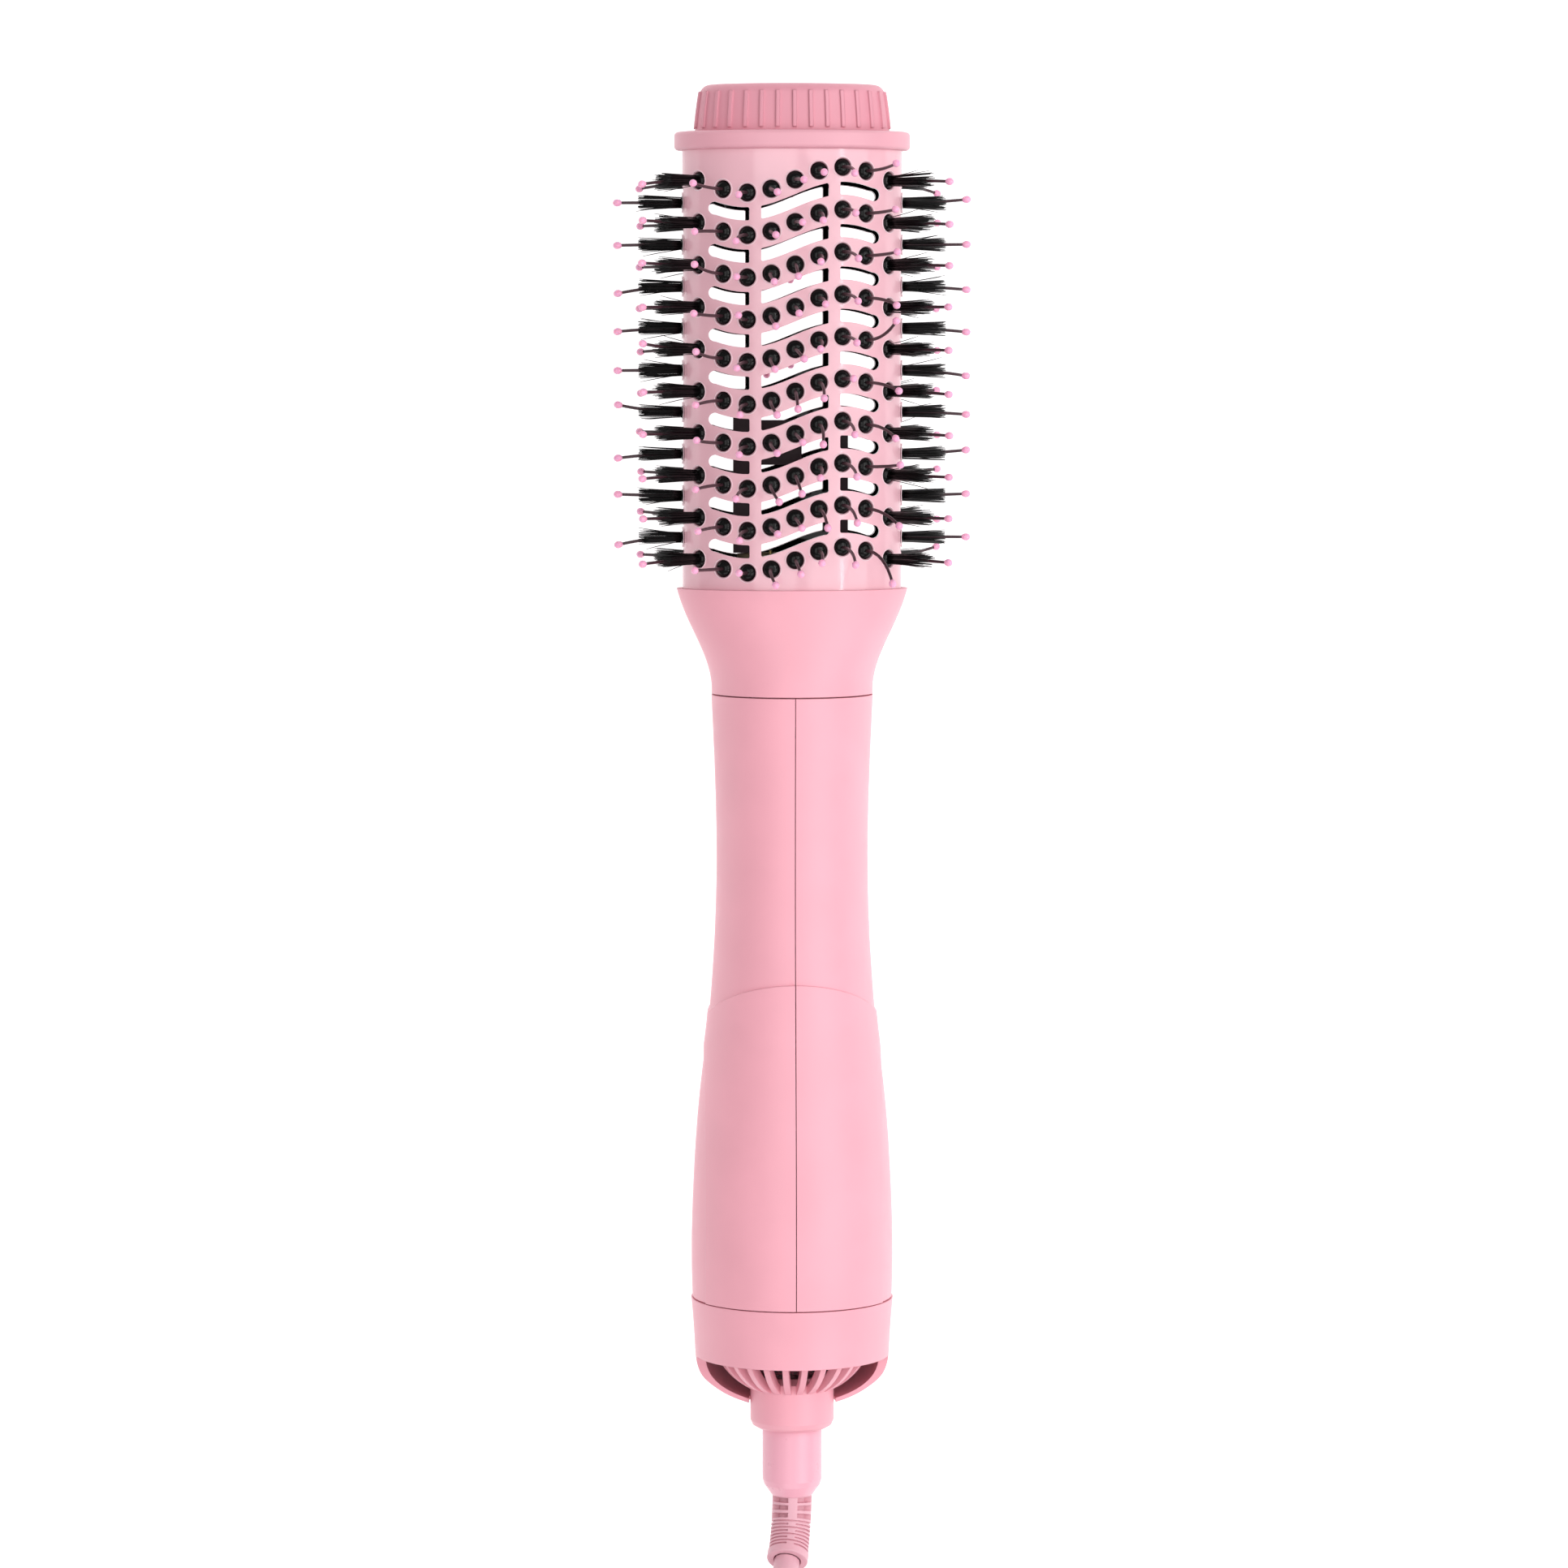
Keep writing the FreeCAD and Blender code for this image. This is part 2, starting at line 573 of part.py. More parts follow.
def make_motor():
    """Fan duct, motor, its rotor, fan, damper and rectifier board."""
    duct = ring(23.0, 21.6, 14.0, 48.0)
    cup = ring(16.2, 15.0, 34.0, 48.0)
    vanes = []
    for i in range(DUCT_VANES):
        vane = box((15.5, 22.0), (35.0, 47.0), (-0.5, 0.5))
        vane.rotate(Vector(0, 0, 0), Vector(0, 1, 0), i * 360.0 / DUCT_VANES)
        vanes.append(vane)
    keep("fan_duct", duct.multiFuse([cup] + vanes))
    keep("motor_damper", ring(14.95, 14.05, 36.0, 46.0))
    can = ring(14.0, 12.8, 34.5, 66.0).fuse(ring(13.5, 2.2, 34.5, 36.0))
    keep("motor_can", can)
    magnet = [(10.6, 40), (12.75, 40), (12.75, 60), (10.6, 60)]
    keep("motor_magnets", [turned(magnet, 130, start) for start in (25, 205)])
    keep("motor_end_cap", ring(14.0, 2.2, 66.0, 69.0))
    armature = ring(9.9, SHAFT_BORE, 41.0, 59.0).fuse(ring(4.5, SHAFT_BORE, 59.0, 64.5))
    keep("motor_armature", armature)
    keep("motor_shaft", rod(SHAFT_R, 18.0, 71.0))
    keep("fan_impeller", fan_blades())
    board = ring(12.5, 3.0, 73.5, 75.1)
    diodes = [rod(1.4, 75.1, 79.0, x, z) for x in (-7, 7) for z in (-4, 4)]
    keep("rectifier_board", board)
    keep("rectifier_diodes", diodes)


def bent_rod(points, radius, bend):
    """A round rod along straight runs joined by arcs."""
    at_end = Vector(points[0])
    edges = []
    for i in range(1, len(points) - 1):
        back = (points[i - 1] - points[i]).normalize()
        ahead = (points[i + 1] - points[i]).normalize()
        turn = math.pi - back.getAngle(ahead)
        reach = bend * math.tan(turn / 2)
        start = points[i] + back * reach
        end = points[i] + ahead * reach
        inward = (back + ahead).normalize()
        centre = points[i] + inward * (bend / math.cos(turn / 2))
        edges.append(Part.makeLine(at_end, start))
        edges.append(Part.Arc(start, centre - inward * bend, end).toShape())
        at_end = end
    edges.append(Part.makeLine(at_end, points[-1]))
    path = Part.Wire(edges)
    heading = points[1] - points[0]
    section = Part.Wire([Part.makeCircle(radius, points[0], heading)])
    return path.makePipeShell([section], True, False)


def make_wiring():
    """Wires from the switch past the motor to the board, and on to the heater."""
    wires = []
    for turn in (195, 220, 245):
        spoke = Rotation(Vector(0, 1, 0), turn)
        run = [(23.5, 12.6), (23.5, 48.6), (16.2, 66.0), (13.6, 84.0), (12.0, 152.0)]
        points = [spoke.multVec(Vector(r, y, 0)) for r, y in run]
        wires.append(bent_rod(points, WIRE_R, 5.0))
    keep("wiring", wires)


# ---- selector and air inlet -----------------------------------------------------------
def make_bowl():
    """The collar's form before the scoop is cut: its wall gets thin towards the lobe's end."""
    outside = [(0.5, 27.5), (-4.8, 27.05), (-11.6, 26.6), (-17.6, 26.05), (-21.0, 24.7), (-23.8, 21.9),
               (-26.6, 17.5), (-28.9, 11.4)]
    inside = [(0.5, 25.3), (-4.8, 24.85), (-11.6, 24.4), (-15.4, 23.8), (-18.6, 23.3), (-20.9, 22.3),
              (-23.3, 20.2), (-25.6, 16.8), (-27.8, 11.4)]
    return turned_outline(outside).cut(turned_outline(inside))


def make_selector():
    """The collar that turns to pick the heat, with a lobe below, and the finger that moves the switch."""
    bowl = make_bowl().cut(ring(24.95, 0.0, -COLLAR_H + 1.0, 1.0))
    scoop = box((-40, 40), (-40, -COLLAR_H), (1.5, 40))
    scoop = scoop.makeFillet(3.0, [e for e in scoop.Edges if abs(e.BoundBox.YMin + COLLAR_H) < 0.01
                                   and e.BoundBox.XLength > 50 and e.BoundBox.ZMax < 2])
    bowl = bowl.cut(scoop).cut(rod(HUB_R + 0.5, -40, -20))
    guide = ring(25.3, GRILLE_R + 0.06, -6.2, -3.4)
    bowl = bowl.fuse(guide)
    notches = []
    for step in range(4):
        notch = Part.makeSphere(0.7, Vector(0, -10.0, 25.0))
        notch.rotate(Vector(0, 0, 0), Vector(0, 1, 0), 180 - 30 * step)
        notches.append(notch)
    keep("selector_collar", bowl.cut(notches))
    finger = turned([(22.7, -3.4), (23.9, -3.4), (23.9, 9.0), (22.7, 9.0)], 8, 176)
    keep("selector_finger", finger)
    leaf = turned([(22.5, -12.0), (22.9, -12.0), (22.9, -8.0), (22.5, -8.0)], 40, 70)
    bead = Part.makeSphere(0.6, Vector(0, -10.0, -23.5))
    stem = Part.makeCylinder(0.4, 1.0, Vector(0, -10.0, -22.7), Vector(0, 0, -1))
    keep("detent_spring", leaf.multiFuse([bead, stem]))
    keep("selector_switch", turned([(21.2, 9.4), (24.6, 9.4), (24.6, 12.4), (21.2, 12.4)], 124, 166))


def grille_rib():
    """One curved rib of the air inlet, in the X > 0 half plane."""
    outer = [(21.4, -12.0), (20.9, -15.0), (19.2, -18.2), (16.0, -21.8), (HUB_R - 0.5, -25.0)]
    inner = [(HUB_R - 0.5, -22.6), (13.7, -20.5), (16.6, -17.2), (18.6, -14.2), (19.3, -12.0)]
    low, high = Part.BSplineCurve(), Part.BSplineCurve()
    low.interpolate([Vector(r, y, 0) for r, y in outer])
    high.interpolate([Vector(r, y, 0) for r, y in inner])
    ends = [
        Part.makeLine(Vector(outer[-1][0], outer[-1][1], 0), Vector(inner[0][0], inner[0][1], 0)),
        Part.makeLine(Vector(inner[-1][0], inner[-1][1], 0), Vector(outer[0][0], outer[0][1], 0)),
    ]
    face = Part.Face(Part.Wire([low.toShape(), ends[0], high.toShape(), ends[1]]))
    rib = face.extrude(Vector(0, 0, RIB_WIDTH))
    rib.translate(Vector(0, 0, -RIB_WIDTH / 2))
    return rib


def make_inlet():
    """The fixed inlet grille with the hub for the cord, and the mesh filter inside it."""
    wall = ring(GRILLE_R, 20.6, -14.0, 5.0)
    flange = ring(24.9, 20.6, 2.6, 5.2)
    apron = ring(24.6, 20.6, -14.0, -12.4)
    window = turned([(22.6, 1.0), (26.0, 1.0), (26.0, 6.0), (22.6, 6.0)], 106, 172)
    hub = turned([(SWIVEL_BORE + 2.4, -21.0), (9.4, -21.0), (HUB_R, -22.4), (HUB_R, HUB_END + 2.2),
                  (HUB_R - 0.6, HUB_END + 0.8), (HUB_R - 2.0, HUB_END), (SWIVEL_BORE, HUB_END),
                  (SWIVEL_BORE, HUB_END + 3.4), (SWIVEL_BORE + 2.4, HUB_END + 3.4)])
    ribs = []
    for i in range(GRILLE_RIBS):
        rib = grille_rib()
        rib.rotate(Vector(0, 0, 0), Vector(0, 1, 0), (i + 0.5) * 360.0 / GRILLE_RIBS)
        ribs.append(rib)
    body = wall.multiFuse([flange.cut(window), apron, hub] + ribs)
    keep("inlet_grille", body)
    mesh = turned([(7.8, -20.0), (12.5, -19.0), (16.3, -15.2), (19.6, -8.0), (19.9, -2.0), (19.5, -2.0),
                   (19.2, -8.0), (15.9, -15.0), (12.3, -18.6), (7.8, -19.6)])
    keep("inlet_filter", mesh)


# ---- swivel, cord and plug ------------------------------------------------------------
def relief_frame():
    """Centre of the strain relief's bend, its start and the direction of the bend."""
    bend = Rotation(Vector(0, 1, 0), RELIEF_ROLL).multVec(Vector(0, 0, 1))
    start = Vector(0, SWIVEL_END + 0.6, 0)
    return start + bend * RELIEF_BEND_R, start, bend


def relief_point(turn, lift=0.0):
    """A point on the strain relief's line after turning by an angle, and its heading."""
    centre, start, bend = relief_frame()
    axis = Vector(0, -1, 0).cross(bend)
    spin = Rotation(axis, turn)
    return centre + spin.multVec(start - centre), spin.multVec(Vector(0, -1, 0))


def make_swivel():
    """The ferrule that turns in the hub, its clip and the ribbed strain relief."""
    neck = SWIVEL_BORE - 0.05
    top = HUB_END - 0.15
    outline = [(3.0, -24.0), (neck, -24.0), (neck, top), (SWIVEL_R, top), (SWIVEL_R, SWIVEL_END + 4.4),
               (SWIVEL_R - 0.5, SWIVEL_END + 2.8), (RELIEF_R, SWIVEL_END), (3.0, SWIVEL_END)]
    ferrule = turned(outline)
    groove = ring(6.0, neck - 0.8, -29.0, -28.0)
    keep("swivel_clip", ring(6.6, neck - 0.75, -28.95, -28.05))
    ferrule = ferrule.cut(groove)

    centre, start, bend = relief_frame()
    axis = Vector(0, -1, 0).cross(bend)
    section = Part.Face(Part.Wire([Part.makeCircle(RELIEF_R, start, Vector(0, -1, 0))]))
    body = section.revolve(centre, axis, RELIEF_TURN)
    cutters = []
    for i in range(9):
        point, way = relief_point(8.0 + 3.2 * i)
        outer = Part.makeCylinder(RELIEF_R + 2, 0.8, point, way)
        inner = Part.makeCylinder(RELIEF_R - 0.9, 0.8, point, way)
        cutters.append(outer.cut(inner))
    body = body.cut(cutters)
    body = body.cut(ferrule)
    keep("swivel_ferrule", ferrule)
    keep("strain_relief", body)
    return relief_point(RELIEF_TURN)[0]


def cord_tube(points, name):
    """A tube along the route: straight runs joined by the largest arcs that fit."""
    edges = []
    radii = []
    at_end = points[0]
    for i in range(1, len(points) - 1):
        back = points[i - 1] - points[i]
        ahead = points[i + 1] - points[i]
        reach = 0.45 * min(back.Length, ahead.Length)
        back.normalize()
        ahead.normalize()
        turn = math.pi - back.getAngle(ahead)
        radius = reach / math.tan(turn / 2)
        radii.append(round(radius, 1))
        centre = points[i] + (back + ahead).normalize() * (radius / math.cos(turn / 2))
        start = points[i] + back * reach
        end = points[i] + ahead * reach
        middle = centre - (back + ahead).normalize() * radius
        edges.append(Part.makeLine(at_end, start))
        edges.append(Part.Arc(start, middle, end).toShape())
        at_end = end
    edges.append(Part.makeLine(at_end, points[-1]))
    path = Part.Wire(edges)
    section = Part.Wire([Part.makeCircle(CORD_D / 2, points[0], points[1] - points[0])])
    tube = path.makePipeShell([section], True, False)
    expected = math.pi * (CORD_D / 2) ** 2 * path.Length
    print(name, "radii", radii, "length", round(path.Length, 1), "volume", round(tube.Volume / expected, 4))
    return tube


def make_cord(relief_tip):
    """The lead down to the coil, the coil and its tie, and the tail to the plug."""
    exit_point = place(Part.Vertex(relief_tip)).Point
    print("cord leaves at", [round(c, 2) for c in exit_point])
    lead = [Vector(*p) for p in LEAD]
    keep("power_cord", cord_tube(lead, "lead"), False)
    keep("cord_tail", cord_tube([Vector(*p) for p in TAIL], "tail"), False)

    centre = Vector(COIL_CENTRE[0], COIL_CENTRE[1], 0)
    low, high = COIL_FOOT, COIL_FOOT + COIL_HEIGHT
    corner = 3.2
    shoulder = 2.5
    section = [(COIL_INNER + corner, low), (COIL_OUTER - corner, low), (COIL_OUTER, low + corner),
               (COIL_OUTER - shoulder, high - corner), (COIL_OUTER - shoulder - corner, high),
               (COIL_INNER + shoulder + corner, high), (COIL_INNER + shoulder, high - corner),
               (COIL_INNER, low + corner)]
    wire = Part.makePolygon([Vector(r, 0, z) for r, z in section + section[:1]])
    coil = Part.Face(wire).revolve(Vector(0, 0, 0), Vector(0, 0, 1), 360)
    coil.translate(centre)
    keep("cord_coil", coil, False)

    bow = COIL_INNER - math.sqrt(COIL_INNER**2 - (TIE_WIDTH / 2) ** 2)
    inside = box((COIL_INNER - bow - 0.1, COIL_OUTER + 0.1), (-TIE_WIDTH, TIE_WIDTH), (low - 0.1, high + 0.1))
    hold = inside.BoundBox
    strap = box((hold.XMin - TIE_THICK, hold.XMax + TIE_THICK), (-TIE_WIDTH / 2, TIE_WIDTH / 2),
                (hold.ZMin - TIE_THICK, hold.ZMax + TIE_THICK))
    tie = strap.cut(inside)
    tie.rotate(Vector(0, 0, 0), Vector(0, 0, 1), TIE_ANGLE)
    tie.translate(centre)
    keep("cord_tie", tie, False)


def make_plug():
    """A flat two-pin plug with its own ribbed strain relief, drawn along +X and turned into place."""
    start, before = Vector(*TAIL[-1]), Vector(*TAIL[-2])
    heading = start - before
    turn = math.degrees(math.atan2(heading.y, heading.x))
    height = PLUG_THICK / 2
    outline = [(11.0, 6.2), (16.0, 10.2), (24.0, 13.2), (40.0, PLUG_WIDE / 2), (46.0, PLUG_WIDE / 2)]
    outline += [(x, -y) for x, y in reversed(outline)]
    face = Part.Face(Part.makePolygon([Vector(x, y, 0) for x, y in outline + outline[:1]]))
    body = face.extrude(Vector(0, 0, PLUG_THICK))
    body = body.makeFillet(2.2, [e for e in body.Edges if e.BoundBox.ZLength < 0.01])
    neck = Part.makeCone(4.4, 5.6, 13.0, Vector(0, 0, height), Vector(1, 0, 0))
    grooves = []
    for i in range(4):
        x = 1.8 + 2.2 * i
        groove = Part.makeCylinder(9, 0.9, Vector(x, 0, height), Vector(1, 0, 0))
        grooves.append(groove.cut(Part.makeCylinder(3.9, 0.9, Vector(x, 0, height), Vector(1, 0, 0))))
    body = body.fuse(neck.cut(grooves))
    pins = []
    for side in (-1, 1):
        at_face = Vector(46.0, side * PIN_SPACING / 2, height)
        pin = Part.makeCylinder(PLUG_PIN_R, PLUG_PIN_LENGTH, at_face, Vector(1, 0, 0))
        tip = [e for e in pin.Edges if e.BoundBox.XMin > 46.0 + PLUG_PIN_LENGTH - 0.1]
        pins.append(pin.makeFillet(1.2, tip))
    for name, shape in (("plug_body", body), ("plug_pins", Part.makeCompound(pins))):
        shape.rotate(Vector(0, 0, 0), Vector(0, 0, 1), turn)
        shape.translate(Vector(start.x, start.y, 0))
        keep(name, shape, False)
    print("plug heading", round(turn, 2), "face at", 46.0)


def main():
    make_barrel()
    make_tufts()
    make_tip()
    make_neck()
    make_heater()
    make_grip()
    make_motor()
    make_wiring()
    make_selector()
    make_inlet()
    make_cord(make_swivel())
    make_plug()
    os.makedirs("parts", exist_ok=True)
    whole = FreeCAD.BoundBox()
    for name, solids in HERE.items():
        shape = solids[0] if len(solids) == 1 else Part.makeCompound(solids)
        shape.exportStep("parts/%s.step" % name)
        box_now = shape.BoundBox
        if name not in CORD_NODES:
            whole.add(box_now)
        bad = [s for s in solids if not s.isValid()]
        print(name, len(solids), "solids", "BAD" if bad else "", round(sum(s.Volume for s in solids), 1))
    print("box without the cord", whole)


main()
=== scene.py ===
import json
import math

import bpy
import numpy as np
from mathutils import Matrix, Vector


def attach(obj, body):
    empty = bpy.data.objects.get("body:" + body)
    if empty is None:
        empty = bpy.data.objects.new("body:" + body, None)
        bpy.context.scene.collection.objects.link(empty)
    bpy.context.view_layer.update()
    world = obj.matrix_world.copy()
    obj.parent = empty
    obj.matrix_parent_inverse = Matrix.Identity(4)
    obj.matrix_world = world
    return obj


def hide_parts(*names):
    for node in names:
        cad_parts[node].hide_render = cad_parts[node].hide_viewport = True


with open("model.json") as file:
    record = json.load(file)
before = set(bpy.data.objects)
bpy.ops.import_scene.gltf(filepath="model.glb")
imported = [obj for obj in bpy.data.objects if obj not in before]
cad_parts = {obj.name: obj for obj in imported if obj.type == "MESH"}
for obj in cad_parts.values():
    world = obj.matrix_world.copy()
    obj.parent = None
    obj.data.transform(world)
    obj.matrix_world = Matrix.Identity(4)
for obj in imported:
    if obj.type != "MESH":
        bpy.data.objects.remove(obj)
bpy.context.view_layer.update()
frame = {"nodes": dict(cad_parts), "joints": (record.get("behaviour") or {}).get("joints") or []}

MM = 0.001
NODES = frame["nodes"]

# ---- the brush's own frame: Y along its axis towards the tip, Z out of the broad upper face ----
SELECTOR_Y = -10 * MM  # where the selector's joint lies on the axis
turn_joint = next(j for j in frame["joints"] if j["name"] == "selector_turn")
AXIS = Vector(turn_joint["axis"]).normalized()
SIDE = Vector((1, 0, 0))
FACE = SIDE.cross(AXIS).normalized()
ORIGIN = Vector(turn_joint["pos_m"]) - SELECTOR_Y * AXIS
BRUSH = Matrix.Translation(ORIGIN) @ Matrix((SIDE, AXIS, FACE)).transposed().to_4x4()
BRUSH_INVERSE = BRUSH.inverted()


def on_brush(x, y, z):
    """A point of the row frame from millimetres in the brush's frame."""
    return BRUSH @ Vector((x * MM, y * MM, z * MM))


def moved(points, matrix):
    """An array of points carried by a matrix."""
    grid = np.array(matrix)
    return np.asarray(points) @ grid[:3, :3].T + grid[:3, 3]


# ---- camera ------------------------------------------------------------------------
CAMERA_PLACE = (-62, 256, 1465)
CAMERA_TARGET = (-2.2, 140.6, 0)
LENS = 124.6


def make_camera():
    """Looks down on the upper face from near the tip, a little from the left."""
    data = bpy.data.cameras.new("camera")
    data.lens = LENS
    data.sensor_width = 36
    camera = bpy.data.objects.new("camera", data)
    bpy.context.scene.collection.objects.link(camera)
    place = on_brush(*CAMERA_PLACE)
    back = (place - on_brush(*CAMERA_TARGET)).normalized()
    right = AXIS.cross(back).normalized()
    turn = Matrix((right, back.cross(right), back)).transposed()
    camera.matrix_world = Matrix.Translation(place) @ turn.to_4x4()
    bpy.context.scene.camera = camera


# ---- cord --------------------------------------------------------------------------
CORD_D = 7.0
LEAD = (  # route from the strain relief to the coil
    (-1.65, -208.9, 31.7), (-4.3, -221.4, 42.9), (-8.1, -237.0, 49.0), (-13.3, -253.0, 48.3),
    (-19.1, -266.9, 41.0), (-24.0, -277.4, 30.4), (-27.8, -288.0, 19.8), (-30.5, -301.6, 13.2),
    (-31.5, -316.4, 11.4),
)
TAIL = (  # route from the coil to the plug
    (-32.7, -317.0, 4.3), (-32.9, -332.5, 4.3), (-29.6, -348.5, 4.3), (-21.4, -362.9, 4.3),
    (-8.9, -374.2, 4.35), (6.6, -380.6, 5.0), (21.6, -381.8, 6.85),
)
COIL_CENTRE = (18.0, -317.0)
COIL_TOP_Z = 11.35
COIL_LOW_Z = 4.3
COIL_OUTER_R = 49.5
COIL_INNER_R = 29.0
COIL_PITCH = 7.0
POINTS_PER_TURN = 20
UPPER_POINTS = 50  # two and a half turns inwards
DOWN_POINTS = 8
LOWER_POINTS = 62  # just over three turns outwards


def coil_points():
    """Turns inwards on top, a way down and turns outwards below, anticlockwise seen from above."""
    step = 2 * math.pi / POINTS_PER_TURN
    bulge = 1 / math.cos(step / 2)
    narrow = COIL_OUTER_R - COIL_PITCH * UPPER_POINTS / POINTS_PER_TURN
    rows = []
    for i in range(1, UPPER_POINTS):
        rows.append((COIL_OUTER_R - COIL_PITCH * i / POINTS_PER_TURN, COIL_TOP_Z))
    for i in range(DOWN_POINTS + 1):
        share = i / DOWN_POINTS
        fall = share * share * (3 - 2 * share)
        radius = narrow + (COIL_INNER_R - narrow) * share
        rows.append((radius, COIL_TOP_Z + (COIL_LOW_Z - COIL_TOP_Z) * fall))
    for i in range(1, LOWER_POINTS):
        rows.append((COIL_INNER_R + COIL_PITCH * i / POINTS_PER_TURN, COIL_LOW_Z))
    found = []
    for i, (radius, height) in enumerate(rows, 1):
        angle = math.pi + i * step
        x = COIL_CENTRE[0] + radius * bulge * math.cos(angle)
        y = COIL_CENTRE[1] + radius * bulge * math.sin(angle)
        found.append((x, y, height))
    return found


def make_cord():
    """The whole cord as one smooth spline: lead, coil and tail."""
    route = list(LEAD) + coil_points() + list(TAIL)
    curve = bpy.data.curves.new("cord", "CURVE")
    curve.dimensions = "3D"
    spline = curve.splines.new("NURBS")
    spline.points.add(len(route) - 1)
    for point, at in zip(spline.points, route):
        point.co = (at[0] * MM, at[1] * MM, at[2] * MM, 1)
    spline.order_u = 3
    spline.use_endpoint_u = True
    spline.resolution_u = 6
    curve.bevel_depth = CORD_D / 2 * MM
    curve.bevel_resolution = 5
    curve.use_fill_caps = True
    cord = bpy.data.objects.new("mains_cord", curve)
    bpy.context.scene.collection.objects.link(cord)
    cord.data.materials.append(MATERIALS["cord_rubber"])
    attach(cord, "cord_end")
    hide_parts("power_cord", "cord_coil", "cord_tail")


# ---- materials ---------------------------------------------------------------------
MATERIALS = {}


def node_material(name, colour, rough, **sockets):
    """A Principled material with even values set on its own sockets, and its node tree."""
    material = bpy.data.materials.new(name)
    material.use_nodes = True
    shader = material.node_tree.nodes["Principled BSDF"]
    shader.inputs["Base Color"].default_value = (*colour, 1)
    shader.inputs["Roughness"].default_value = rough
    for socket, value in sockets.items():
        shader.inputs[socket.replace("_", " ")].default_value = value
    MATERIALS[name] = material
    return material, material.node_tree, shader


def noise(tree, scale, detail=3.0):
    """A noise texture on the piece's own coordinates, with scale in features per metre."""
    place = tree.nodes.get("Texture Coordinate") or tree.nodes.new("ShaderNodeTexCoord")
    texture = tree.nodes.new("ShaderNodeTexNoise")
    texture.inputs["Scale"].default_value = scale
    texture.inputs["Detail"].default_value = detail
    tree.links.new(place.outputs["Object"], texture.inputs["Vector"])
    return texture.outputs["Fac"]


def tint(tree, shader, factor, first, second):
    """Varies the base colour between two tints."""
    ramp = tree.nodes.new("ShaderNodeValToRGB")
    ramp.color_ramp.elements[0].position = 0.35
    ramp.color_ramp.elements[1].position = 0.65
    ramp.color_ramp.elements[0].color = (*first, 1)
    ramp.color_ramp.elements[1].color = (*second, 1)
    tree.links.new(factor, ramp.inputs["Fac"])
    tree.links.new(ramp.outputs["Color"], shader.inputs["Base Color"])


def rough_range(tree, shader, factor, low, high):
    """Varies the roughness between two values."""
    span = tree.nodes.new("ShaderNodeMapRange")
    span.inputs["From Min"].default_value = 0.3
    span.inputs["From Max"].default_value = 0.7
    span.inputs["To Min"].default_value = low
    span.inputs["To Max"].default_value = high
    tree.links.new(factor, span.inputs["Value"])
    tree.links.new(span.outputs["Result"], shader.inputs["Roughness"])


def bump(tree, shader, factor, depth):
    """Raises the surface by a texture, with depth in millimetres."""
    node = tree.nodes.new("ShaderNodeBump")
    node.inputs["Strength"].default_value = 1.0
    node.inputs["Distance"].default_value = depth * MM
    tree.links.new(factor, node.inputs["Height"])
    tree.links.new(node.outputs["Normal"], shader.inputs["Normal"])


def shade(colour, share):
    """A colour made darker or lighter."""
    return tuple(c * share for c in colour)


def rounded(tree, shader, radius):
    """Softens the moulded edges, with radius in millimetres."""
    bevel = tree.nodes.new("ShaderNodeBevel")
    bevel.samples = 6
    bevel.inputs["Radius"].default_value = radius * MM
    raised = tree.nodes.get("Bump")
    target = raised.inputs["Normal"] if raised else shader.inputs["Normal"]
    tree.links.new(bevel.outputs["Normal"], target)


def moulded(name, colour, rough, grain_scale, grain_depth, spread=0.02, edge=0.0, **sockets):
    """Moulded plastic: faint colour drift, uneven gloss, a fine grain and softened edges."""
    material, tree, shader = node_material(name, colour, rough, **sockets)
    tint(tree, shader, noise(tree, 60), shade(colour, 1 - spread), shade(colour, 1 + spread))
    rough_range(tree, shader, noise(tree, 240), rough * 0.9, rough * 1.12)
    if grain_depth:
        bump(tree, shader, noise(tree, grain_scale, 2.0), grain_depth)
    if edge:
        rounded(tree, shader, edge)


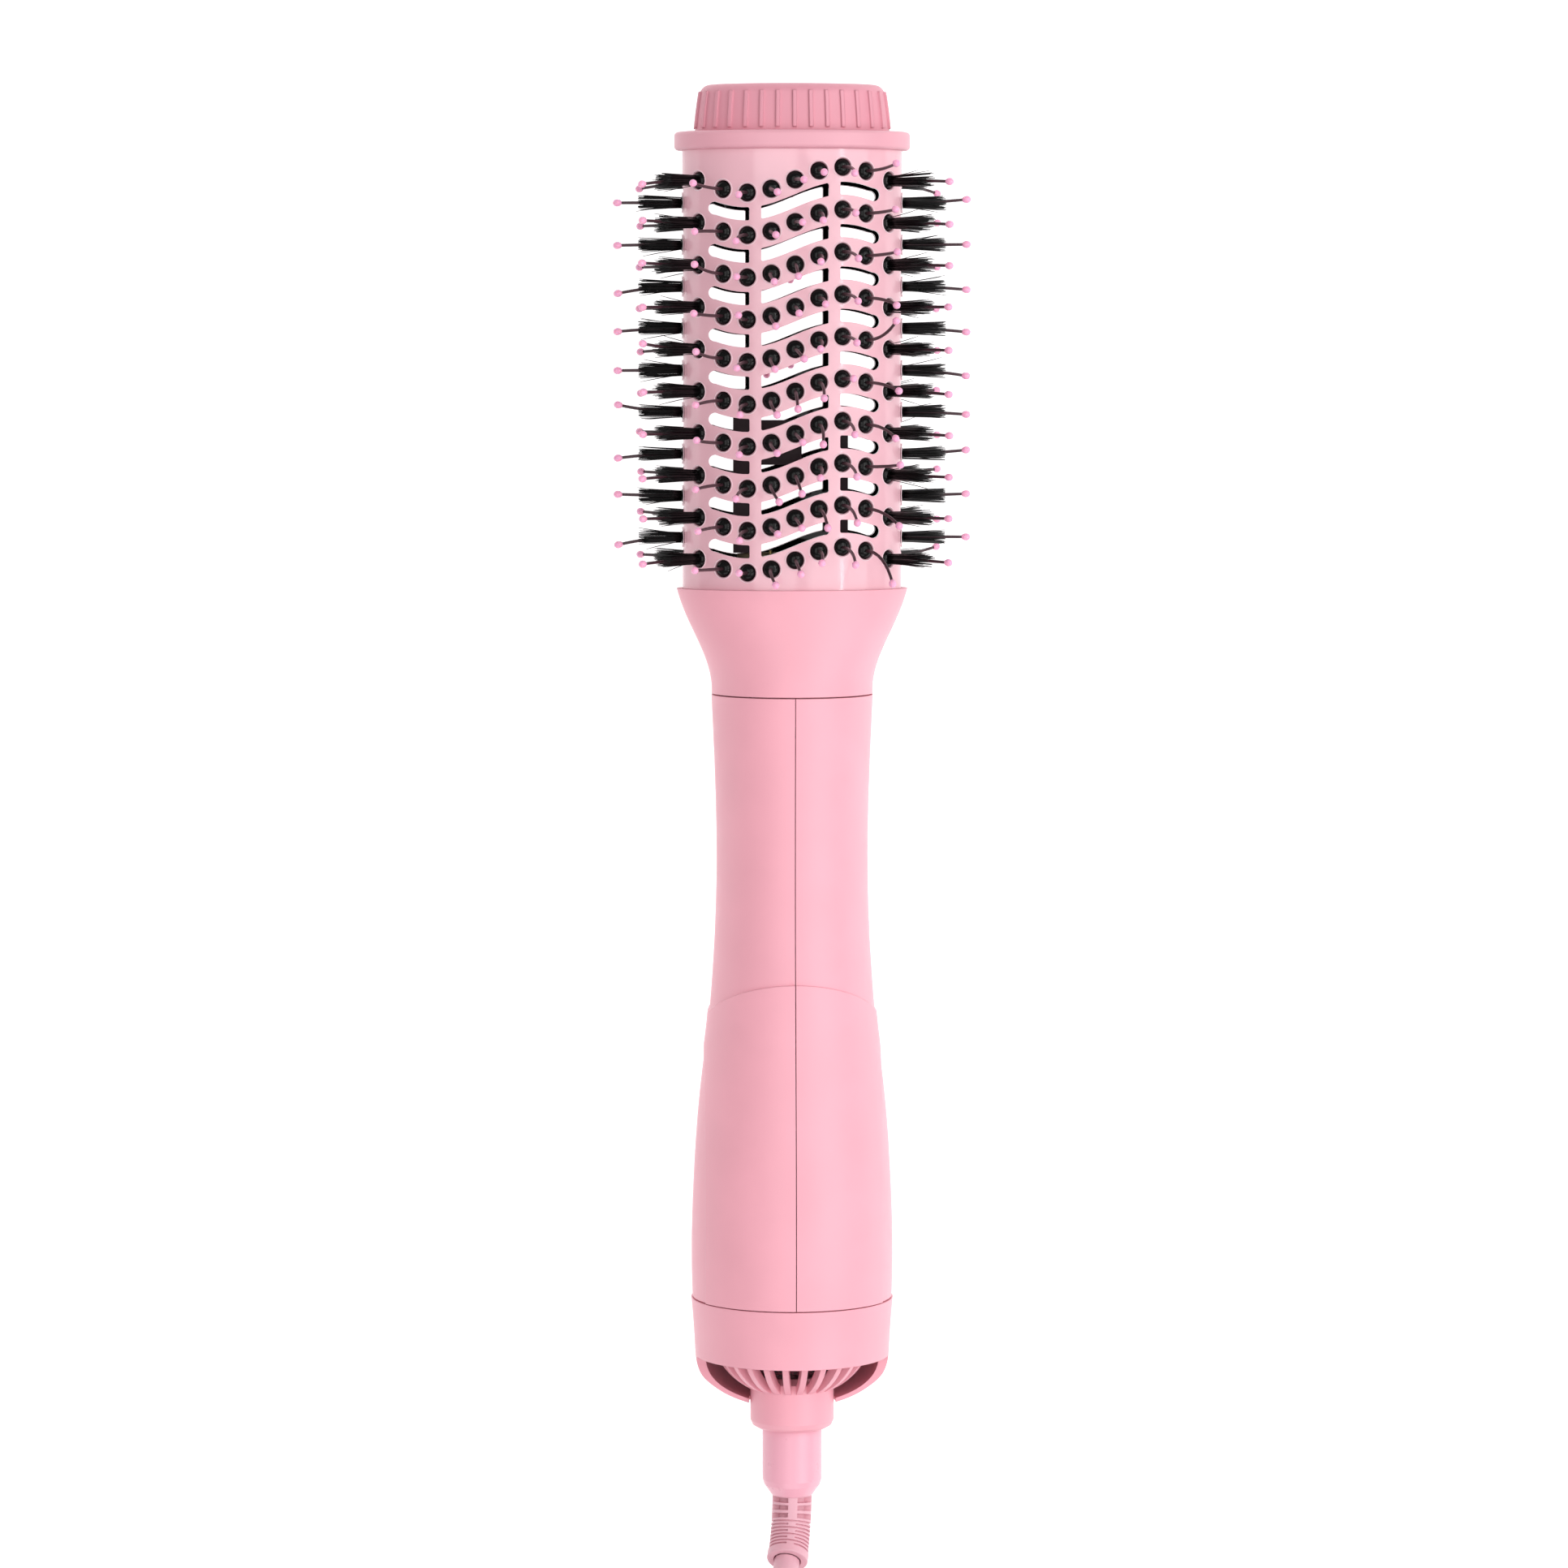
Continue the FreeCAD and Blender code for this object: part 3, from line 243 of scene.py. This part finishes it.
def make_materials():
    """The plastics, metals and rubbers: colour, roughness, grain scale and depth, spread and edge."""
    moulded("barrel_gloss", (0.86, 0.485, 0.555), 0.13, 900, 0.004, 0.015, 0.25, Specular_IOR_Level=0.6)
    # paler than the barrel: a painted highlight for the light that the rounded hole edges catch all round
    moulded("rim_painted_highlight", (0.95, 0.70, 0.76), 0.2, 900, 0.0)
    moulded("grip_soft", (0.89, 0.405, 0.485), 0.40, 5200, 0.008, 0.02, 0.3, Specular_IOR_Level=0.45)
    moulded("cap_matte", (0.75, 0.315, 0.39), 0.45, 4200, 0.012, 0.02, 0.5)
    moulded("ring_satin", (0.80, 0.385, 0.46), 0.38, 3600, 0.006, 0.02, 0.6)
    moulded("carrier_black", (0.003, 0.0028, 0.003), 0.05, 900, 0.001, 0.02, 0.0, Specular_IOR_Level=0.2)
    moulded("bristle_black", (0.004, 0.0035, 0.004), 0.30, 4000, 0.0, 0.02, 0.0, Specular_IOR_Level=0.3)
    moulded("pin_brown", (0.045, 0.014, 0.022), 0.30, 3000, 0.002)
    moulded("ball_pink", (0.95, 0.43, 0.64), 0.25, 2000, 0.002, Subsurface_Weight=0.25,
            Subsurface_Scale=0.0008)
    moulded("heater_red", (0.045, 0.010, 0.020), 0.5, 2600, 0.01)
    moulded("mica", (0.42, 0.33, 0.21), 0.45, 1800, 0.02, 0.12)
    moulded("heating_wire", (0.32, 0.27, 0.22), 0.35, 3000, 0.004, Metallic=1.0)
    moulded("steel", (0.55, 0.55, 0.56), 0.3, 2600, 0.004, Metallic=1.0)
    moulded("brass", (0.72, 0.52, 0.22), 0.3, 2600, 0.004, Metallic=1.0)
    moulded("copper", (0.78, 0.36, 0.2), 0.3, 2600, 0.01, Metallic=1.0)
    moulded("magnet_dark", (0.05, 0.05, 0.055), 0.5, 2600, 0.02)
    moulded("housing_grey", (0.16, 0.16, 0.17), 0.5, 2600, 0.01)
    moulded("board_tan", (0.42, 0.27, 0.1), 0.5, 2600, 0.01)
    moulded("black_rubber", (0.02, 0.02, 0.02), 0.55, 2600, 0.02)
    moulded("ferrule_satin", (0.89, 0.43, 0.53), 0.3, 5200, 0.004, 0.02, 0.4)
    moulded("cord_rubber", (0.76, 0.41, 0.48), 0.42, 3000, 0.01)
    moulded("chrome", (0.7, 0.7, 0.72), 0.12, 2600, 0.002, Metallic=1.0)
    make_filter_mesh()


def make_filter_mesh():
    """The air filter: dark open cells between crossed maroon threads."""
    material, tree, shader = node_material("filter_black", (0.03, 0.006, 0.012), 0.6)
    place = tree.nodes.new("ShaderNodeTexCoord")
    cells = tree.nodes.new("ShaderNodeTexVoronoi")
    cells.feature = "DISTANCE_TO_EDGE"
    cells.inputs["Scale"].default_value = 700
    ramp = tree.nodes.new("ShaderNodeValToRGB")
    ramp.color_ramp.elements[0].position = 0.08
    ramp.color_ramp.elements[1].position = 0.16
    ramp.color_ramp.elements[0].color = (0.14, 0.015, 0.035, 1)
    ramp.color_ramp.elements[1].color = (0.008, 0.003, 0.004, 1)
    tree.links.new(place.outputs["Object"], cells.inputs["Vector"])
    tree.links.new(cells.outputs["Distance"], ramp.inputs["Fac"])
    tree.links.new(ramp.outputs["Color"], shader.inputs["Base Color"])


def dress_nodes():
    """Gives every CAD node the material of its slot."""
    for name, node in NODES.items():
        slot = node.data.materials[0].name.split(".")[0]
        if slot in MATERIALS:
            node.material_slots[0].material = MATERIALS[slot]


# ---- floor, light --------------------------------------------------------------------
FLOOR_HALF = 6.0
FLOOR_Z = -0.02 * MM


def make_floor():
    """A plain white sheet that lights the brush from below too."""
    mesh = bpy.data.meshes.new("floor")
    corners = [(-FLOOR_HALF, -FLOOR_HALF), (FLOOR_HALF, -FLOOR_HALF), (FLOOR_HALF, FLOOR_HALF)]
    corners.append((-FLOOR_HALF, FLOOR_HALF))
    mesh.from_pydata([(x, y, FLOOR_Z) for x, y in corners], [], [(0, 1, 2, 3)])
    floor = bpy.data.objects.new("floor", mesh)
    bpy.context.scene.collection.objects.link(floor)
    material, tree, shader = node_material("floor_white", (0.4, 0.4, 0.4), 0.9)
    shader.inputs["Emission Color"].default_value = (1, 1, 1, 1)
    shader.inputs["Emission Strength"].default_value = 0.95
    mesh.materials.append(material)


def area_light(name, place, target, size, power):
    """A soft box of that size across and along the brush."""
    data = bpy.data.lights.new(name, "AREA")
    data.shape = "RECTANGLE"
    data.size, data.size_y = size
    data.energy = power
    light = bpy.data.objects.new(name, data)
    bpy.context.scene.collection.objects.link(light)
    light.location = place
    back = (Vector(place) - Vector(target)).normalized()
    across_beam = AXIS.cross(back).normalized()
    turn = Matrix((across_beam, back.cross(across_beam), back)).transposed()
    light.rotation_mode = "QUATERNION"
    light.rotation_quaternion = turn.to_quaternion()


def make_light():
    """A big soft box and a thin bright strip on the right, a fill above and one behind the cord's end."""
    scene = bpy.context.scene
    world = bpy.data.worlds.new("studio")
    world.use_nodes = True
    world.node_tree.nodes["Background"].inputs["Color"].default_value = (1, 1, 1, 1)
    world.node_tree.nodes["Background"].inputs["Strength"].default_value = 0.37
    scene.world = world
    scene.view_settings.view_transform = "Standard"
    area_light("key", (0.72, 0.1, 1.02), (0, 0, 0.03), (1.15, 1.7), 10.6)
    area_light("edge", (0.70, 0.1, 0.99), (0, 0, 0.03), (0.014, 1.7), 1.8)
    area_light("fill", (-0.3, 0.1, 1.5), (0, 0, 0.03), (0.8, 1.4), 6.0)
    area_light("rear", (-0.1, -1.2, 0.75), (0, -0.25, 0.03), (1.2, 0.6), 3.2)


# ---- tufts ---------------------------------------------------------------------------
def islands(node):
    """The points of each separate solid of a node."""
    mesh = NODES[node].data
    points = np.empty(len(mesh.vertices) * 3)
    mesh.vertices.foreach_get("co", points)
    keys, same = np.unique(np.round(points.reshape(-1, 3), 6), axis=0, return_inverse=True)
    edges = np.empty(len(mesh.edges) * 2, int)
    mesh.edges.foreach_get("vertices", edges)
    edges = same.reshape(-1)[edges].reshape(-1, 2)
    label = np.arange(len(keys))
    while True:
        before = label.copy()
        low = np.minimum(label[edges[:, 0]], label[edges[:, 1]])
        np.minimum.at(label, edges[:, 0], low)
        np.minimum.at(label, edges[:, 1], low)
        label = label[label]
        if (label == before).all():
            return [keys[label == k] for k in np.unique(label)]


def mesh_piece(name, points, faces, material, node=None, body="brush", smooth=True, slot=None):
    """A new piece from arrays of points in the row frame and of faces, often in place of a CAD node."""
    mesh = bpy.data.meshes.new(name)
    mesh.from_pydata(np.asarray(points).tolist(), [], [list(f) for f in faces])
    mesh.polygons.foreach_set("use_smooth", np.full(len(mesh.polygons), smooth))
    mesh.update()
    piece = bpy.data.objects.new(name, mesh)
    bpy.context.scene.collection.objects.link(piece)
    mesh.materials.append(MATERIALS[material])
    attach(piece, body)
    if node:
        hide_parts(node)
    return piece


PIN_R = 0.45
PIN_SINK = 0.6  # how far a pin starts below the dome's top
PIN_KNEE = 0.3  # share of its reach where a pin begins to bend
PIN_EASE = 0.35  # how gently it does
PIN_TAPER = (1.08, 0.88)
PIN_POINTS = 9
PIN_SIDES = 8
BEAD_SIDES = 14
BALL_LONG = 1.2
BALL_WIDE = 1.0
SEED = 11
ROWS = 10
COLUMNS = 9
BARREL_A = 29.6  # half width and half depth of the oval skin
BARREL_B = 19.0
BOSS_TOP = 0.55
RIM_R = 2.68
RIM_THICK = 0.13
RIM_STEPS = 32
RIM_SIDES = 6
HAIRS = 72
HAIR_R = 0.12
HAIR_TAPER = (1.0, 1.0, 1.0, 0.9, 0.5)
HAIR_SIDES = 3
HAIR_SINK = 0.5  # how far a hair starts below the dome's top
BUNDLE_R = 1.45
BUNDLE_SPREAD = 1.36  # radius of a bundle's end over that of its foot
SPREAD_DRIFT = 0.08
HAIR_DRIFT = 0.05
STRAY_SHARE = 0.04
STRAY_SPREAD = (0.8, 2.0)
STRAY_LENGTH = (0.8, 1.05)
BRISTLE_REACH = {"front": 13.6, "back": 13.6, "sides": 11.0}  # from the dome to the bristles' ends
PIN_LEAN = {-3: 2.2, -2: 2.7, -1: 3.0, 0: 1.0, 1: -2.0, 2: -3.0, 3: -2.6}  # across, at the bead, in mm
PIN_DROOP = {-3: 0.0, -2: 0.9, -1: 2.2, 0: 2.2, 1: 2.4, 2: 2.0, 3: 1.2}  # towards the handle, in mm


def find_tufts(label):
    """Each tuft of a face as (column, row, foot on the dome, way out, centre of its ball), in mm."""
    balls = [moved(points, BRUSH_INVERSE) / MM for points in islands("ball_tips_" + label)]
    bosses = [moved(points, BRUSH_INVERSE) / MM for points in islands("tuft_bosses_" + label)]
    middles = np.array([(points.min(0) + points.max(0)) / 2 for points in bosses])
    found = []
    for ball in balls:
        tip = (ball.min(0) + ball.max(0)) / 2
        near = np.where(np.abs(middles[:, 1] - tip[1]) < 0.3)[0]
        boss = near[np.argmin(np.linalg.norm(middles[near] - tip, axis=1))]
        way = (tip - middles[boss]) / np.linalg.norm(tip - middles[boss])
        rise = ((bosses[boss] - middles[boss]) @ way).max()
        found.append([middles[boss] + way * rise, way, tip])
    per_column = ROWS if label != "sides" else ROWS - 1
    found.sort(key=lambda tuft: tuft[0][0])
    placed = []
    for i in range(0, len(found), per_column):
        column = i // per_column - (COLUMNS // 2 if label != "sides" else 0)
        for row, tuft in enumerate(sorted(found[i:i + per_column], key=lambda tuft: -tuft[0][1])):
            placed.append((column, row, *tuft))
    return placed


def bezier(points, count):
    """Points along a cubic curve from its four control points."""
    t = np.linspace(0, 1, count)[:, None]
    a, b, c, d = (np.asarray(p) for p in points)
    return a * (1 - t) ** 3 + 3 * b * t * (1 - t) ** 2 + 3 * c * t * t * (1 - t) + d * t**3


def across(way):
    """Two directions square to a way."""
    side = np.cross(way, (0.0, 1.0, 0.0) if abs(way[1]) < 0.9 else (1.0, 0.0, 0.0))
    side = side / np.linalg.norm(side)
    return side, np.cross(way, side)


class Heap:
    """Collects the points and faces of many small forms for one mesh."""

    def __init__(self):
        self.points = []
        self.faces = []
        self.count = 0

    def add(self, points, faces):
        """Adds one form, with its faces counted from its own first point."""
        self.points.append(points)
        self.faces += [[i + self.count for i in face] for face in faces]
        self.count += len(points)

    def tube(self, line, radii, sides):
        """A closed tube of the given radii along a line."""
        line = np.asarray(line)
        ways = np.gradient(line, axis=0)
        rings = []
        turn = np.arange(sides) * 2 * math.pi / sides
        side, up = across(ways[0] / np.linalg.norm(ways[0]))
        for at, way, radius in zip(line, ways, radii):
            way = way / np.linalg.norm(way)
            side = side - way * (side @ way)
            side = side / np.linalg.norm(side)
            up = np.cross(way, side)
            rings.append(at + radius * (np.outer(np.cos(turn), side) + np.outer(np.sin(turn), up)))
        faces = []
        for k in range(len(line) - 1):
            for i in range(sides):
                j = (i + 1) % sides
                faces.append((k * sides + i, k * sides + j, (k + 1) * sides + j, (k + 1) * sides + i))
        last = (len(line) - 1) * sides
        faces.append(tuple(reversed(range(sides))))
        faces.append(tuple(last + i for i in range(sides)))
        self.add(np.concatenate(rings), faces)

    def piece(self, name, material, node=None, body="brush", **options):
        """Makes the mesh from all forms, given in mm in the brush's frame."""
        points = moved(np.concatenate(self.points) * MM, BRUSH)
        return mesh_piece(name, points, self.faces, material, node, body, **options)


def lean_of(label, column, row, rng):
    """How far a pin's bead has been pushed across the brush and towards its handle, in mm."""
    if label == "sides" or abs(column) == COLUMNS // 2:
        return rng.normal(0, 0.3), rng.normal(0.2, 0.9)
    late = row / (ROWS - 1)
    droop = PIN_DROOP[column] * (0.75 + 0.7 * late) + rng.normal(0, 1.1 if column < 3 else 3.2)
    return PIN_LEAN[column] + rng.normal(0, 0.5), droop


def make_pins(label, rng):
    """The flexible pins and their beads, each a little bent as in use."""
    pins, beads = Heap(), Heap()
    tufts = []
    for column, row, foot, way, tip in find_tufts(label):
        aside, droop = lean_of(label, column, row, rng)
        pushed = tip + np.array((aside, -droop, 0.0))
        reach = np.linalg.norm(tip - foot)
        end = foot + (pushed - foot) * reach / np.linalg.norm(pushed - foot)
        end[2] += max(0.0, BALL_LONG - on_brush(*end).z / MM)  # a bead lies on the surface, not in it
        straight = way * reach
        knee = foot + straight * PIN_KNEE
        ease = knee + (end - foot) * PIN_EASE
        line = bezier([foot - way * PIN_SINK, knee, ease, end], PIN_POINTS)
        thick, thin = PIN_TAPER
        pins.tube(line, np.linspace(PIN_R * thick, PIN_R * thin, PIN_POINTS), PIN_SIDES)
        heading = (line[-1] - line[-2]) / np.linalg.norm(line[-1] - line[-2])
        bead_line, radii = bead_profile(end, heading)
        beads.tube(bead_line, radii, BEAD_SIDES)
        tufts.append((column, row, foot, way, line))
    pins.piece("bent_pins_" + label, "pin_brown", "pins_" + label)
    beads.piece("beads_" + label, "ball_pink", "ball_tips_" + label)
    return tufts


def bead_profile(centre, heading):
    """Line and radii of a bead: round at its end and drawn out a little along its pin."""
    angles = np.linspace(math.pi - 0.25, 0.12, 11)
    along = np.cos(angles) * np.where(np.cos(angles) < 0, BALL_LONG * 1.15, BALL_LONG * 0.9)
    radii = BALL_WIDE * np.sin(angles)
    return centre + np.outer(along, heading), radii


def make_bristles(label, tufts, rng):
    """Single hairs in each bundle of the outer columns and the narrow sides."""
    hairs = Heap()
    for column, row, foot, way, line in tufts:
        if label != "sides" and abs(column) < COLUMNS // 2:
            continue
        side, up = across(way)
        reach = BRISTLE_REACH[label]
        for hair in range(HAIRS):
            angle = rng.uniform(0, 2 * math.pi)
            radius = BUNDLE_R * math.sqrt(rng.uniform(0, 1))
            spread = rng.normal(BUNDLE_SPREAD, SPREAD_DRIFT)
            stray = rng.uniform() < STRAY_SHARE
            out = side * math.cos(angle) + up * math.sin(angle)
            drift = side * rng.normal(0, HAIR_DRIFT) + up * rng.normal(0, HAIR_DRIFT)
            length = reach * (1.03 - 0.16 * rng.uniform() ** 2)
            if stray:
                spread += rng.uniform(*STRAY_SPREAD)
                length *= rng.uniform(*STRAY_LENGTH)
            start = foot + out * radius - way * HAIR_SINK
            end = foot + way * length + out * radius * spread + drift * 3
            middle = foot + way * length * 0.5 + out * radius * (1 + (spread - 1) * 0.4) + drift
            control = (start, middle * 0.7 + start * 0.3, middle * 0.7 + end * 0.3, end)
            bend = bezier(control, len(HAIR_TAPER))
            hairs.tube(bend, [HAIR_R * share for share in HAIR_TAPER], HAIR_SIDES)
    hairs.piece("hairs_" + label, "bristle_black", "bristles_" + label)


def make_rims(label, tufts):
    """The raised edge moulded round each hole, following the oval skin, in a paler tint that is a painted
    highlight of its rounded edge.
    """
    rims = Heap()
    turn = np.linspace(0, 2 * math.pi, RIM_STEPS, endpoint=False)
    for column, row, foot, way, line in tufts:
        side, up = across(way)
        middle = foot - way * BOSS_TOP
        ring = middle + RIM_R * (np.outer(np.cos(turn), side) + np.outer(np.sin(turn), up))
        ring[:, [0, 2]] /= np.hypot(ring[:, 0] / BARREL_A, ring[:, 2] / BARREL_B)[:, None]
        outward = ring - middle
        outward /= np.linalg.norm(outward, axis=1)[:, None]
        rounds = []
        for k in range(RIM_SIDES):
            angle = 2 * math.pi * k / RIM_SIDES
            rounds.append(ring + RIM_THICK * (math.cos(angle) * outward + math.sin(angle) * way))
        points = np.stack(rounds, axis=1).reshape(-1, 3)
        faces = []
        for i in range(RIM_STEPS):
            for k in range(RIM_SIDES):
                a, b = i * RIM_SIDES, (i + 1) % RIM_STEPS * RIM_SIDES
                n = (k + 1) % RIM_SIDES
                faces.append((a + k, b + k, b + n, a + n))
        rims.add(points, faces)
    # the rims' paler material is a painted highlight, not a paler plastic
    rims.piece("hole_rims_" + label, "rim_painted_highlight", slot="barrel_gloss")


def make_tufts():
    """Pins, beads, bristles and hole rims of both faces and the narrow sides."""
    rng = np.random.default_rng(SEED)
    for label in ("front", "back", "sides"):
        tufts = make_pins(label, rng)
        make_bristles(label, tufts, rng)
        make_rims(label, tufts)


# ---- strain relief -------------------------------------------------------------------
RELIEF_TOP = -53.7  # where the sleeve leaves the ferrule, on the brush's axis
RELIEF_BEND_R = 25.0
RELIEF_TURN = 45.0
RELIEF_ROLL = -13.0
SLEEVE_R = 5.4
COLLAR_R = 5.6
COLLAR_FROM = 39.4  # degrees along the bend
CORD_HOLE_R = 3.7
RING_STEP = 0.2  # degrees along the bend between two rings of points
LIP = 0.9  # degrees over which the sleeve's end is rounded
HOLE_DEEP = 4.0  # degrees that the cord's hole goes into the end
SLOTS = (4.2, 10.0, 15.8)  # middles of the three rows of slots, in degrees along the bend
SLOT_HALF = 1.8
SLOT_DEPTH = 1.7
SLOT_SPAN = (15, 76)  # from the rib on the upper face round to the side, in degrees
GROOVES = tuple(19.9 + 2.6 * i for i in range(8))
GROOVE_HALF = 0.65
GROOVE_DEPTH = 0.6


def sleeve_radius(along, round_angles):
    """Radius of the strain relief at a turn along the bend, for every angle round it."""
    radius = np.full(len(round_angles), COLLAR_R if along > COLLAR_FROM else SLEEVE_R)
    from_rib = np.abs((round_angles - RELIEF_ROLL + 90) % 180 - 90)  # the same above and below
    in_slot = (from_rib > SLOT_SPAN[0]) & (from_rib < SLOT_SPAN[1])
    for middle in SLOTS:
        if abs(along - middle) < SLOT_HALF:
            radius[in_slot] -= SLOT_DEPTH
    for i, middle in enumerate(GROOVES):
        if abs(along - middle) < GROOVE_HALF:
            cut = from_rib > (12 if i % 2 else 0)
            radius[cut] -= GROOVE_DEPTH
    return radius


def make_relief():
    """The slotted and grooved rubber sleeve that curves up with the cord."""
    roll = math.radians(RELIEF_ROLL)
    bend = np.array((math.sin(roll), 0, math.cos(roll)))
    start = np.array((0, RELIEF_TOP, 0))
    centre = start + bend * RELIEF_BEND_R
    side = np.cross((0, -1, 0), bend)
    round_angles = np.arange(0, 360, 3.0)
    turn = np.radians(round_angles)[:, None]
    grooved = np.arange(0, RELIEF_TURN - LIP, RING_STEP)
    rows = [(along, sleeve_radius(along, round_angles)) for along in grooved]
    flat = np.ones(len(round_angles))
    rows += [(RELIEF_TURN - LIP, flat * COLLAR_R), (RELIEF_TURN - LIP / 3, flat * (COLLAR_R - 0.12))]
    rows += [(RELIEF_TURN, flat * (COLLAR_R - 0.45)), (RELIEF_TURN, flat * (CORD_HOLE_R + 0.2))]
    rows += [(RELIEF_TURN - 0.4, flat * CORD_HOLE_R), (RELIEF_TURN - HOLE_DEEP, flat * CORD_HOLE_R)]
    rings = []
    for along, radius in rows:
        angle = math.radians(along)
        inward = math.cos(angle) * bend - math.sin(angle) * np.array((0, -1, 0))
        at = centre - inward * RELIEF_BEND_R
        rings.append(at + radius[:, None] * (np.cos(turn) * inward + np.sin(turn) * side))
    count = len(round_angles)
    faces = [tuple(range(count)), tuple(reversed(range((len(rows) - 1) * count, len(rows) * count)))]
    for k in range(len(rows) - 1):
        for i in range(count):
            j = (i + 1) % count
            faces.append((k * count + i, (k + 1) * count + i, (k + 1) * count + j, k * count + j))
    relief = Heap()
    relief.add(np.concatenate(rings), faces)
    slot = NODES["strain_relief"].data.materials[0].name.split(".")[0]
    relief.piece("relief_sleeve", slot, "strain_relief", "cord_end", smooth=False)


def build():
    """Camera and cord first, then the looks of the rest."""
    make_materials()
    make_camera()
    make_cord()
    dress_nodes()
    make_tufts()
    make_relief()
    make_floor()
    make_light()


build()
